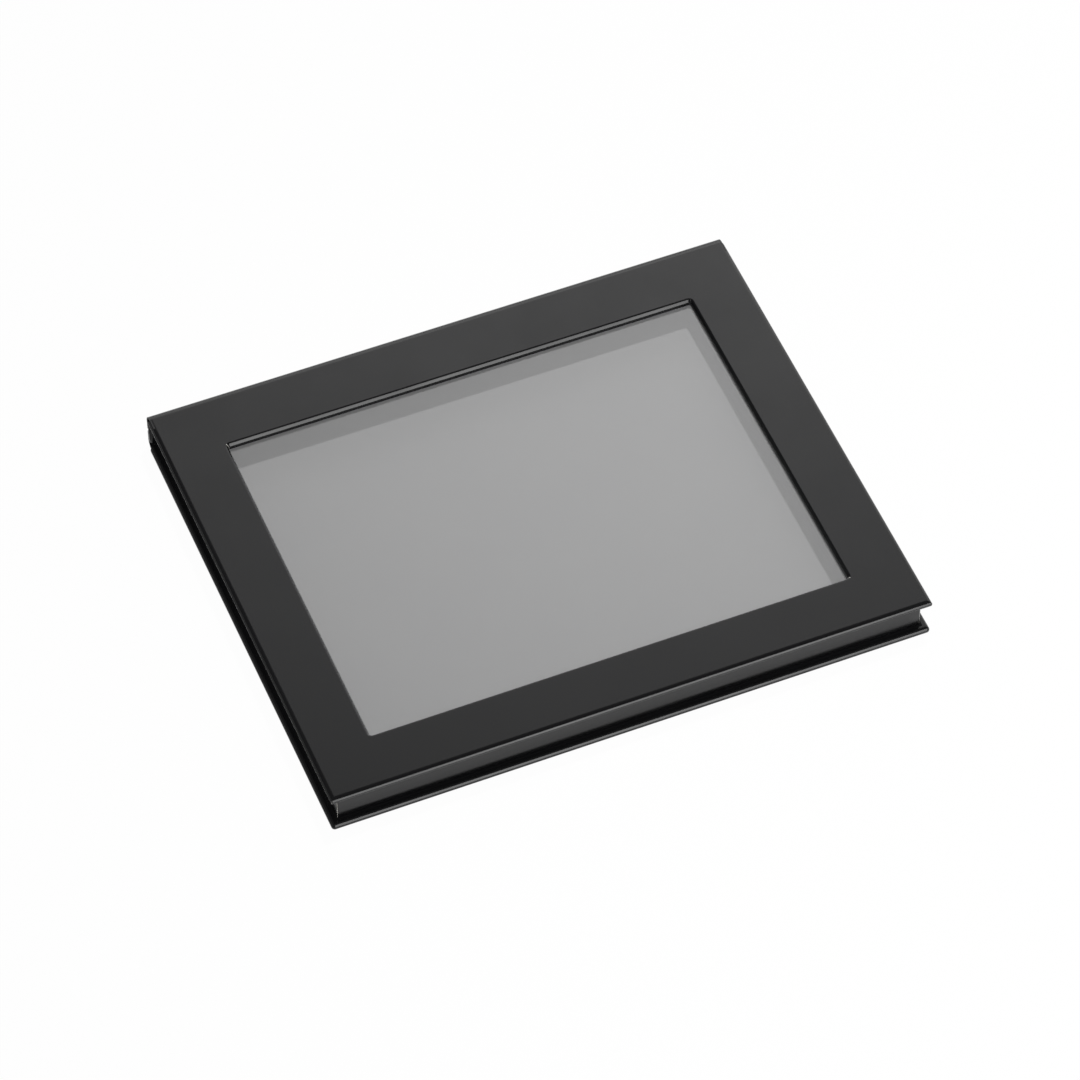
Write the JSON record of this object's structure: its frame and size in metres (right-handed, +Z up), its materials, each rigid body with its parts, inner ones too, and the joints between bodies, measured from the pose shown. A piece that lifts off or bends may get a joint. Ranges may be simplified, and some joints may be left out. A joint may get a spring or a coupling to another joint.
{
  "type": "magnetic make-up palette",
  "caption": "Closed book-style case of black wrapped board with a clear window in its lid and a shallow tray lined with a grey magnetic sheet for loose colour pans.",
  "frame": {"origin": "middle of the underside of the closed palette, on the surface that it lies on", "axes": "+X along the long side, +Y from the front edge to the spine, +Z up"},
  "size_m": [0.2, 0.165, 0.0154],
  "materials": {
    "greyboard": "matt",
    "black_wrap": "soft-touch matt laminate",
    "black_lining": "matt",
    "clear_film": "clear gloss",
    "magnet_rubber": "matt",
    "grey_vinyl": "satin",
    "nickel": "plated"
  },
  "bodies": {
    "base": {"base_board": "greyboard", "base_wrap": "black_wrap", "base_lining": "black_lining", "tray_floor": "greyboard", "tray_front_wall": "greyboard", "tray_back_wall": "greyboard", "tray_left_wall": "greyboard", "tray_right_wall": "greyboard", "tray_wrap": "black_wrap", "tray_magnet_left": "nickel", "tray_magnet_right": "nickel", "magnetic_sheet": "magnet_rubber", "sheet_facing": "grey_vinyl"},
    "spine": {"base_crease": "black_wrap", "spine_board": "greyboard", "spine_wrap": "black_wrap", "spine_lining": "black_lining"},
    "lid": {"lid_crease": "black_wrap", "lid_board": "greyboard", "lid_wrap": "black_wrap", "window_film": "clear_film", "lid_lining": "black_lining", "lid_magnet_left": "nickel", "lid_magnet_right": "nickel"}
  },
  "joints": [
    {"name": "spine_fold", "type": "hinge", "parent": "base", "child": "spine", "pos_m": [0, 0.0817, 0.0008], "axis": [-1, 0, 0], "range_deg": [0, 90], "deforming": ["base_crease"]},
    {"name": "lid_fold", "type": "hinge", "parent": "spine", "child": "lid", "pos_m": [0, 0.0817, 0.0146], "axis": [-1, 0, 0], "range_deg": [0, 90], "deforming": ["lid_crease"]}
  ]
}
